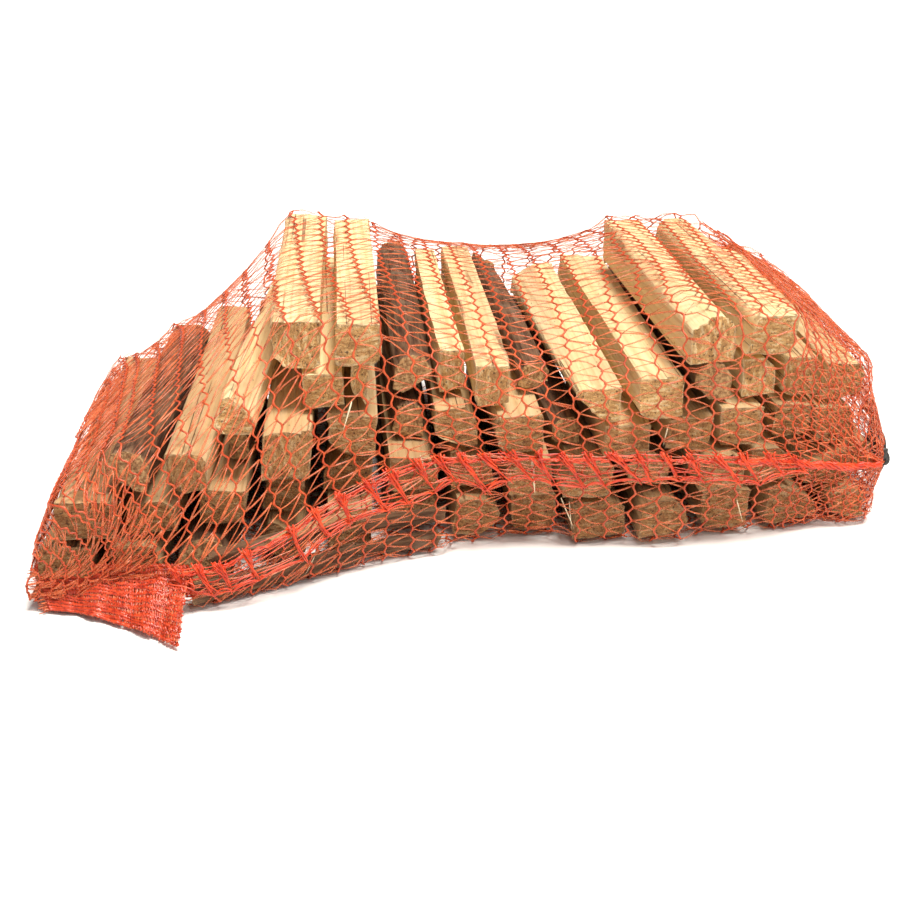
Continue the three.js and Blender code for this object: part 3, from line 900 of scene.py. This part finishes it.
def strand_piece(name, bundles, material):
    vertices, corners, sizes, base = [], [], [], 0
    for points, quads, caps in bundles:
        vertices.append(points)
        corners += [(quads + base).ravel(), (caps + base).ravel()]
        sizes += [np.full(len(quads), 4), np.full(len(caps), caps.shape[1])]
        base += len(points)
    vertices, corners, sizes = (np.concatenate(part) for part in (vertices, corners, sizes))
    mesh = bpy.data.meshes.new(name)
    mesh.vertices.add(len(vertices))
    mesh.vertices.foreach_set("co", vertices.ravel())
    mesh.loops.add(len(corners))
    mesh.loops.foreach_set("vertex_index", corners.astype(np.int32))
    mesh.polygons.add(len(sizes))
    mesh.polygons.foreach_set("loop_start", (np.cumsum(sizes) - sizes).astype(np.int32))
    mesh.polygons.foreach_set("use_smooth", np.ones(len(sizes), bool))
    mesh.update(calc_edges=True)
    mesh.validate()
    piece = bpy.data.objects.new(name, mesh)
    scene.collection.objects.link(piece)
    mesh.materials.append(material)
    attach(piece, "root")
    triangles = int((sizes - 2).sum())
    print(name, len(sizes), "faces,", triangles, "triangles")
    return piece


# %% [markdown]
# ## The chains
# Each chain is a row of knitted loops. Tapes pull it left and right in turn, so it zigzags. A thick
# strand carries the zigzag, swelling at every turn where the tape is knotted in, and a thinner leg
# winds beside it.

# %% Chains round the sack
rng = np.random.default_rng(11)
CHAINS = (len(surface) - 1) // FINE + 1
ZIGZAG = 1.2 * MM  # to each side
STEPS = 3
FLAT_TURN = 1.45  # above 1 a chain stays to one side for a while at each turn
SLIMMER_BETWEEN = 0.28
along_chain = np.arange(ROUND * STEPS + 1) / STEPS
zig = np.clip(FLAT_TURN * (1 - 2 * abs((along_chain % 2) - 1)), -1, 1)
node_swell = 1 - (along_chain % 1 > 0) * SLIMMER_BETWEEN


def per_stitch(values):
    """Values at each place round the sack, spread over a chain's points."""
    return np.interp(along_chain, np.arange(ROUND + 1), values)


def sideways_of(points, normals):
    tangent = np.gradient(points, axis=0)
    return unit(np.cross(tangent, normals), 1e-9)


def chain_line(number, lift, shift=0.0):
    """A chain's course: its points, their normals, and how far the tapes pull each one aside."""
    uneven = per_stitch(rng.normal(0, 0.22, ROUND + 1)) * MM
    wander = np.interp(along_chain, np.arange(0, ROUND + 13, 13), rng.normal(0, 0.14, 13))
    column = number * FINE + shift + wander * (0 < number < CHAINS - 1)
    points, normals = on_net(column, along_chain, lift)
    clear_of_pile(points, normals)
    ahead, _ = on_net(column + 1.0, along_chain)
    behind, _ = on_net(column - 1.0, along_chain)
    across = ahead - behind
    room = np.linalg.norm(across, axis=1) * FINE / 2
    aside = sideways_of(points, normals)
    aside *= np.sign((aside * across).sum(1))[:, None]
    stitch = np.linalg.norm(np.gradient(points, axis=0), axis=1) * STEPS
    reach = np.minimum(np.minimum(ZIGZAG, room * 0.16), stitch * 0.3) * zig
    reach = reach + np.minimum(uneven, room * 0.05)
    return points, normals, aside * reach[:, None]


def chain(line, width=1.25 * MM):
    points, normals, aside = line
    swell = node_swell * per_stitch(rng.uniform(0.85, 1.2, ROUND + 1))
    middle = points + aside
    height = 0.7 * width * swell[None]
    thick = tubes(middle[None], normals[None], width * swell[None], height, 5)
    turn = along_chain * math.pi + 0.8
    leg = points + aside * (1 - 0.5 * abs(np.sin(turn)))[:, None]
    leg = leg + normals * (0.35 * MM * np.cos(turn))[:, None]
    thin = tubes(leg[None], normals[None], 0.55 * MM, 0.5 * MM, 4)
    return thick, thin


def in_three_parts(name, bundles_of_rings, material):
    """One piece each for the closed end, the middle and the mouth end of the sack."""
    parts = ("closed_end", "middle", "mouth_end")
    pieces = []
    for part, members in zip(parts, np.array_split(np.arange(len(bundles_of_rings)), len(parts))):
        bundles = [bundle for number in members for bundle in bundles_of_rings[number]]
        pieces.append(strand_piece(name + part, bundles, material))
    return pieces


lines = []
for number in range(CHAINS):
    raised = per_stitch(rng.random(ROUND + 1))
    lines.append(chain_line(number, (0.35 + 0.25 * raised) * MM))
chains = [chain(line) for line in lines]
chain_pieces = in_three_parts("net_chains_", chains, chain_finish)
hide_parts("net_bag")

# %% [markdown]
# ## The tapes between the chains
# From each turn of a chain, two tapes go to the next chain, one to the stitch above and one to the
# stitch below, which is what makes the six-sided openings. Near the closed end the sack is pulled
# askew, so the tapes slant upwards there, and several lie close together.

# %% Tapes
TAPE_POINTS = 4
share = np.linspace(0, 1, TAPE_POINTS)


def slant(number):
    """How many stitches higher a tape ends than it starts, near the closed end."""
    x = surface[min(number * FINE, len(surface) - 1), 30, 0]
    return np.interp(x, [-0.2, -0.13, -0.08], [3.4, 2.4, 0.0])


def tapes_after(number, shift=0.0, lift=0.0, lines=lines):
    lean = slant(number)
    starts, ends = [], []
    for stitch in range(1, ROUND, 2):
        if number < LEFT_RINGS and rng.random() > 0.35 + 0.09 * number:
            continue
        for climb in (-1, 1):
            starts.append(stitch)
            ends.append(stitch + climb + lean + rng.normal(0, 0.12))
        if rng.random() < 0.45 + 0.03 * lean:
            starts.append(stitch + rng.normal(0, 0.3))
            ends.append(stitch + rng.choice([-1, 0, 1]) + lean + rng.normal(0, 0.3))
    starts, ends = np.clip(np.array([starts, ends]), 0.02, ROUND - 0.02)[:, :, None]
    count = len(starts)
    sag = rng.normal(0, 0.16, (count, 1)) * np.sin(share * math.pi)
    place = np.clip(starts + (ends - starts) * share + sag, 0.02, ROUND - 0.02)
    column = number * FINE + shift + FINE * share + np.zeros((count, 1))
    bow = rng.uniform(0, 0.5, (count, 1)) * np.sin(share * math.pi)
    points, normals = on_net(column, place, lift + (0.15 + 0.5 * rng.random((count, 1)) + bow) * MM)
    for line, at, weight in ((lines[number], starts, 1 - share), (lines[number + 1], ends, share)):
        aside = np.stack([np.interp(at[:, 0], along_chain, line[2][:, k]) for k in range(3)], 1)
        points = points + aside[:, None] * weight[:, None]
    clear_of_pile(points, normals)
    tilt = rng.normal(0, 0.45, (count, 1, 1)) + np.linspace(-0.3, 0.3, TAPE_POINTS)[:, None]
    tangent = unit(np.gradient(points, axis=1), 1e-12)
    turned = normals * np.cos(tilt) + np.cross(tangent, normals) * np.sin(tilt)
    width = rng.uniform(0.65, 1.2, (count, 1)) * MM
    return tubes(points, turned, width, 0.16 * MM, 4)


tapes = [[tapes_after(number)] for number in range(CHAINS - 1)]
in_three_parts("net_tapes_", tapes, tape_finish)

# %% [markdown]
# ## Folds
# At both ends the sack has more cloth than it needs, so the net lies double there. A second layer
# of chains and tapes lies a little further out, about half way to the next chain.

# %% Folded-over net
FOLD_SHIFT = 1.4  # columns of the surface
fold_bundles, fold_tapes = [], []
for members in (range(LEFT_RINGS - 1, LEFT_RINGS + 2), range(CHAINS - 14, CHAINS - 8)):
    folded = {}
    for n in members:
        folded[n] = chain_line(n, (1.5 + 0.7 * rng.random()) * MM, FOLD_SHIFT)
    for n in members:
        fold_bundles += chain(folded[n], 1.0 * MM)
        if n + 1 in folded:
            fold_tapes.append(tapes_after(n, FOLD_SHIFT, 1.4 * MM, folded))
strand_piece("folded_net_chains", fold_bundles, chain_finish)
strand_piece("folded_net_tapes", fold_tapes, tape_finish)

# %% [markdown]
# ## The side seam
# Along the front the two edges of the knitting are gathered and sewn. Every chain ends there in a
# tuft of bunched loops that hangs down and towards the mouth, with tapes packed closely between one
# tuft and the next, and a selvedge thread under them.

# %% Tufts, packed tapes and selvedge
SEAM_START, SEAM_STOP = -0.143, seam_high[0] - 0.024
seam_numbers = [
    n for n in range(LEFT_RINGS, CHAINS) if SEAM_START < surface[n * FINE, 0, 0] < SEAM_STOP
]
TUFT_POINTS = 9
SEWING_THREADS = 4


def straight(a, b, share):
    """Points on the straight line from a to b."""
    return a + (b - a) * share[:, None]


down_tuft = np.linspace(0, 1, TUFT_POINTS)
tuft_paths, tuft_normals, tuft_width = [], [], []
tuft_feet, tuft_tops = [], []
facing_front = np.array([0.0, -1.0, 0.25]) / np.linalg.norm([0, -1, 0.25])
for n in seam_numbers:
    top, _ = on_net(n * FINE, 0.0, 1.0 * MM)
    x = top[0]
    drift = np.interp(x, [-0.13, -0.06, 0.0, 0.18], [6, 7, 11, 10]) * MM
    drop = np.interp(x, [-0.13, -0.06, 0.0, 0.10, 0.18], [11, 12, 13, 12, 6]) * MM
    hang = [drift * rng.uniform(0.6, 1.3), -1.2 * MM, -drop * rng.uniform(0.75, 1.2)]
    foot = top + np.array(hang)
    foot[2] = max(foot[2], 3 * MM)
    top = top + np.array([0, -0.8 * MM, 3.0 * MM])
    tuft_tops.append(top)
    tuft_feet.append(foot)
    for _ in range(rng.integers(9, 17)):
        reach = rng.uniform(0.45, 1.12)
        along = down_tuft * reach
        line = straight(top, foot, along)
        start_off = rng.normal(0, 1.0, 3) * [1.9, 0.6, 1.0]
        end_off = rng.normal(0, 1.0, 3) * [1.1, 0.5, 0.6]
        gather = (1 - along[:, None]) ** 2 * start_off + along[:, None] ** 3 * end_off
        twist = rng.uniform(0, 2 * math.pi) + down_tuft * rng.uniform(3, 9)
        line += gather * MM
        line[:, 0] += 0.55 * MM * np.cos(twist)
        line[:, 1] += 0.5 * MM * np.sin(twist) - 0.7 * MM * np.sin(down_tuft * math.pi)
        line += rng.normal(0, 0.1, line.shape) * MM
        keep_off_floor(line, FLOOR_GAP)
        tuft_paths.append(line)
        tuft_normals.append(np.tile(facing_front, (TUFT_POINTS, 1)))
        tuft_width.append(rng.uniform(0.5, 1.0) * MM * np.linspace(1, 0.55, TUFT_POINTS))
tuft_width = np.array(tuft_width)
tufts = tubes(tuft_paths, tuft_normals, tuft_width, tuft_width * 0.7, 5)

LEVELS = 10
packed, edges, solid_packed = [], [], []
across = np.linspace(0, 1, 7)
for left in range(len(seam_numbers) - 1):
    for level in range(LEVELS):
        t = (level + rng.uniform(-0.3, 0.3)) / (LEVELS - 1)
        a = tuft_tops[left] + (tuft_feet[left] - tuft_tops[left]) * np.clip(t, 0, 1)
        t = np.clip(t + rng.normal(0, 0.09), 0, 1)
        b = tuft_tops[left + 1] + (tuft_feet[left + 1] - tuft_tops[left + 1]) * t
        line = straight(a, b, across)
        line[:, 1] -= (0.3 + 0.6 * rng.random()) * MM * np.sin(across * math.pi)
        line[:, 2] -= rng.uniform(-0.6, 1.1) * MM * np.sin(across * math.pi)
        (solid_packed if rng.random() < 0.45 else packed).append(line)
    a, b = tuft_feet[left], tuft_feet[left + 1]
    for offset in (0.0, 0.7 * MM):
        line = straight(a, b, across)
        line[:, 2] += (offset + rng.uniform(0.6, 2.2) * MM) * np.sin(across * math.pi) ** 0.7
        line[:, 1] -= 0.4 * MM
        edges.append(line)
    a, b = tuft_tops[left] - [0, 0, 3 * MM], tuft_tops[left + 1] - [0, 0, 3 * MM]
    for _ in range(SEWING_THREADS):
        line = straight(a, b, across)
        line += rng.normal(0, 0.5, line.shape) * MM
        line[:, 1] -= 0.6 * MM
        line[0], line[-1] = a, b
        edges.append(line)
facing = np.tile(facing_front, (len(across), 1))
packed_width = rng.uniform(0.5, 1.0, (len(packed), 1)) * MM
packed_tapes = tubes(packed, [facing] * len(packed), packed_width, 0.2 * MM, 4)
selvedge = tubes(edges, [facing] * len(edges), 0.75 * MM, 0.6 * MM, 5)
solid_width = rng.uniform(0.5, 0.9, (len(solid_packed), 1)) * MM
solid_tapes = tubes(solid_packed, [facing] * len(solid_packed), solid_width, 0.25 * MM, 4)
seam = strand_piece("side_seam_tufts", [tufts, selvedge, solid_tapes], seam_finish)
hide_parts("side_seam")
strand_piece("side_seam_tapes", [packed_tapes], tape_finish)

# %% [markdown]
# ## The rolled edge near the mouth
# Towards the mouth the seam's edge rolls up on itself into a loose rope, because the drawstring
# pulls it tight.

# %% Rolled edge
ROPE_POINTS, ROPE_STRANDS = 64, 18
rope_share = np.linspace(0, 1, ROPE_POINTS)
rope_x = np.interp(rope_share, [0, 1], [0.118, tape_low[0] - 0.002])
rope_columns = np.interp(rope_x, surface[:, 0, 0], np.arange(len(surface)))
rope_line, _ = on_net(rope_columns, 0.0, 2.2 * MM)
rope_line[:, 2] -= 2.0 * MM * np.sin(rope_share * math.pi)
thickness = np.interp(rope_share, [0, 0.3, 0.8, 1], [1.2, 2.1, 1.9, 0.9]) * MM
rope = []
for _ in range(ROPE_STRANDS):
    phase, rate = rng.uniform(0, 2 * math.pi), rng.uniform(5, 16)
    off = thickness * rng.uniform(0.3, 1.0)
    twist = phase + rope_share * rate * 2
    line = rope_line.copy()
    line[:, 2] += off * np.sin(twist)
    line[:, 1] += off * np.cos(twist) * 0.8
    line += rng.normal(0, 0.15, line.shape) * MM
    rope.append(line)
rope_facing = np.tile(facing_front, (ROPE_POINTS, 1))
rolled = tubes(rope, [rope_facing] * len(rope), 0.95 * MM, 0.6 * MM, 5)
strand_piece("rolled_seam_edge", [rolled], seam_finish)

# %% [markdown]
# ## The close-knitted band at the closed end
# Beyond the last open stitches the sack ends in a band of much closer knitting, which stands in
# front of the sack and flares out over the floor, with its cut tape ends showing along one side.

# %% Band
BAND_ROWS, BAND_COLUMNS = 15, 50
FRINGE_ENDS, BAND_LOOPS = 46, 9


def on_band(a, b, lift=0.0):
    """A point on the band: a runs along the sack, b from the sack out to the band's free edge."""
    a, b = np.broadcast_arrays(np.clip(a, 0, 1.0), np.clip(b, 0, 1.05))
    width = band_high[0] - band_low[0]
    x = band_low[0] + width * (a + 0.05 * b * (1 - 2 * a)) + 3.0 * MM * b
    out = np.minimum(b, 1.0)
    flare = (9 + 33 * a**1.5) * MM
    y = band_high[1] - 1.0 * MM - flare * b**1.15
    fold = 0.8 * np.sin(a * 17 + b * 2) + 0.7 * np.sin(a * 31 + 1.3 + b * 3)
    z = 1.2 * MM + (band_high[2] - 3 * MM) * (1 - out) ** 1.25
    z = z + (fold + 0.9) * MM * np.sqrt(b) * (0.35 + 0.65 * a)
    y = y - fold * MM * 0.8 * b
    return np.stack([x, y, z + lift], -1)


normal_of_band = np.array([0.0, -0.6, 0.8])
rows, weft = [], []
row_share = np.linspace(0, 1, BAND_COLUMNS * 2 + 1)
row_zig = 1 - 2 * (np.arange(BAND_COLUMNS * 2 + 1) % 2)
for row in range(BAND_ROWS):
    b = (row + 0.5) / BAND_ROWS
    drift = 0.02 * np.sin(row_share * rng.uniform(8, 20) + row)
    uneven_b = b + drift + 0.016 * row_zig + rng.normal(0, 0.007, len(row_share))
    rows.append(on_band(row_share, uneven_b, 0.5 * MM))
column_share = np.linspace(0, 1, 14)
for column in range(BAND_COLUMNS * 2):
    a = (column + rng.uniform(-0.45, 0.45)) / (BAND_COLUMNS * 2)
    reach = rng.uniform(0.97, 1.03)
    uneven_a = a + rng.normal(0, 0.002, len(column_share))
    weft.append(on_band(uneven_a, column_share * reach, rng.uniform(0, 0.5) * MM))
fringe = []
fringe_share = np.linspace(0, 1, 5)
for _ in range(FRINGE_ENDS):
    b = rng.uniform(0.05, 1.0)
    start = on_band(0.01, b)
    reach = rng.uniform(2, 6.5) * MM
    away = [-reach, rng.normal(0, 1.2) * MM, rng.uniform(-2, 1) * MM]
    line = start + np.outer(fringe_share, away)
    keep_off_floor(line, 0.5 * MM)
    fringe.append(line)


def flat_normals(paths):
    return np.broadcast_to(normal_of_band, np.asarray(paths).shape)


loops = []
loop_share = np.linspace(0, 1, 13)
for _ in range(BAND_LOOPS):
    start = tuft_feet[0] + rng.normal(0, 1.5, 3) * MM
    stop = on_band(rng.uniform(0.86, 1.0), rng.uniform(0.0, 0.35), 1.0 * MM)
    line = straight(start, stop, loop_share)
    bulge = np.sin(loop_share * math.pi)[:, None]
    line += bulge * np.array([rng.uniform(2, 8), -rng.uniform(1, 4), rng.uniform(-2, 3)]) * MM
    keep_off_floor(line, FLOOR_GAP)
    loops.append(line)
row_width = rng.uniform(1.2, 2.0, (len(rows), 1)) * MM
band_rows = tubes(rows, flat_normals(rows), row_width, 0.7 * MM, 5)
solid_weft, clear_weft = weft[::2], weft[1::2]
band_weft = tubes(solid_weft, flat_normals(solid_weft), 1.05 * MM, 0.22 * MM, 4)
band_clear = tubes(clear_weft, flat_normals(clear_weft), 1.1 * MM, 0.2 * MM, 4)
band_fringe = tubes(fringe, flat_normals(fringe), 0.8 * MM, 0.22 * MM, 4)
band_loops = tubes(loops, flat_normals(loops), 0.9 * MM, 0.6 * MM, 5)
band_bundles = [band_rows, band_weft, band_loops]
band = strand_piece("close_knitted_band", band_bundles, band_finish_with_painted_shade)
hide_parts("end_band")
strand_piece("band_fringe", [band_fringe, band_clear], tape_finish)

# %% [markdown]
# ## The drawstring
# A flat black tape is drawn tight round the mouth and knotted close to it. Its section is flat and
# follows the gathered net.

# %% Drawstring
STRING_POINTS, KNOT_POINTS = 60, 34
STRING_RADIUS = 0.0102
turning = np.linspace(-0.4, 2 * math.pi + 0.5, STRING_POINTS)
string_radius = STRING_RADIUS + 0.0004 * np.sin(turning * 3) + np.linspace(0, 0.0006, STRING_POINTS)
string_x = tape_low[0] + 2.4 * MM + 0.5 * MM * np.sin(turning * 2)
string_x = string_x + np.linspace(-0.4, 0.6, STRING_POINTS) * MM
string = np.stack(
    [
        string_x,
        neck_middle[1] - string_radius * np.cos(turning),
        neck_middle[2] + string_radius * np.sin(turning),
    ],
    1,
)
string_normals = np.stack([np.zeros(STRING_POINTS), -np.cos(turning), np.sin(turning)], 1)
drawn = tubes([string], [string_normals], 5.4 * MM, 0.9 * MM, 8)
knot_turn = np.linspace(0, 2 * math.pi * 1.6, KNOT_POINTS)
knot = np.stack(
    [
        string_x.mean() + 1.2 * MM + 2.3 * MM * np.cos(knot_turn),
        neck_middle[1] - STRING_RADIUS + 1.2 * MM * np.sin(knot_turn * 2),
        neck_middle[2] + 2.6 * MM * np.sin(knot_turn),
    ],
    1,
)
knotted = tubes([knot], [np.tile([0.0, -1.0, 0.0], (KNOT_POINTS, 1))], 2.6 * MM, 1.2 * MM, 8)
drawstring = strand_piece("drawstring_tape", [drawn, knotted], black_finish)
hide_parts("drawstring")

# %% [markdown]
# ## Splinters
# Splitting leaves long pale slivers, and some of them have worked loose and stand between the ends
# of the sticks behind the net.

# %% Splinters
splinters = []
taper = np.array([0.55, 1.0, 0.9, 0.7, 0.45, 0.08])
splinter_share = np.linspace(0, 1, len(taper))
for x, z, length, lean_x, width in (  # place, length, how far it leans, width in millimetres
    (0.022, 0.046, 0.017, 0.10, 1.7),
    (0.036, 0.026, 0.017, 0.42, 0.7),
    (0.040, 0.024, 0.014, 0.10, 0.5),
    (-0.078, 0.013, 0.010, -0.5, 0.6),
    (-0.030, 0.050, 0.012, 0.3, 0.8),
    (0.085, 0.062, 0.010, -0.2, 0.6),
    (0.120, 0.022, 0.012, 0.3, 0.6),
    (-0.060, 0.085, 0.014, -0.3, 0.9),
):
    column = np.interp(x, surface[:, 0, 0], np.arange(len(surface)))
    front, _ = on_net(column, 0.0, -0.4 * MM)
    top = np.array([x, front[1] + 0.5 * MM, z])
    fall = np.array([lean_x, -0.10, -1.0])
    fall *= length / np.linalg.norm(fall)
    splinters.append((top + np.outer(splinter_share, fall), width))
splinter_facing = np.tile(facing_front, (len(taper), 1))
splinter_bundles = [
    tubes([line], [splinter_facing], width * taper[None] * MM, 0.5 * MM * taper[None], 5)
    for line, width in splinters
]
pale = Finish("pale_splinter")
pale_place = pale.add("ShaderNodeTexCoord", output=3)
pale_streak = pale.streaky(pale_place, (900, 900, 120), 3.0)
pale.surface(
    Base_Color=pale.mix(pale_streak, (0.80, 0.60, 0.36), (0.95, 0.84, 0.62)),
    Roughness=0.7,
    Normal=pale.bump(pale_streak, 0.0003, 0.6),
)
strand_piece("loose_splinters", splinter_bundles, pale.material)
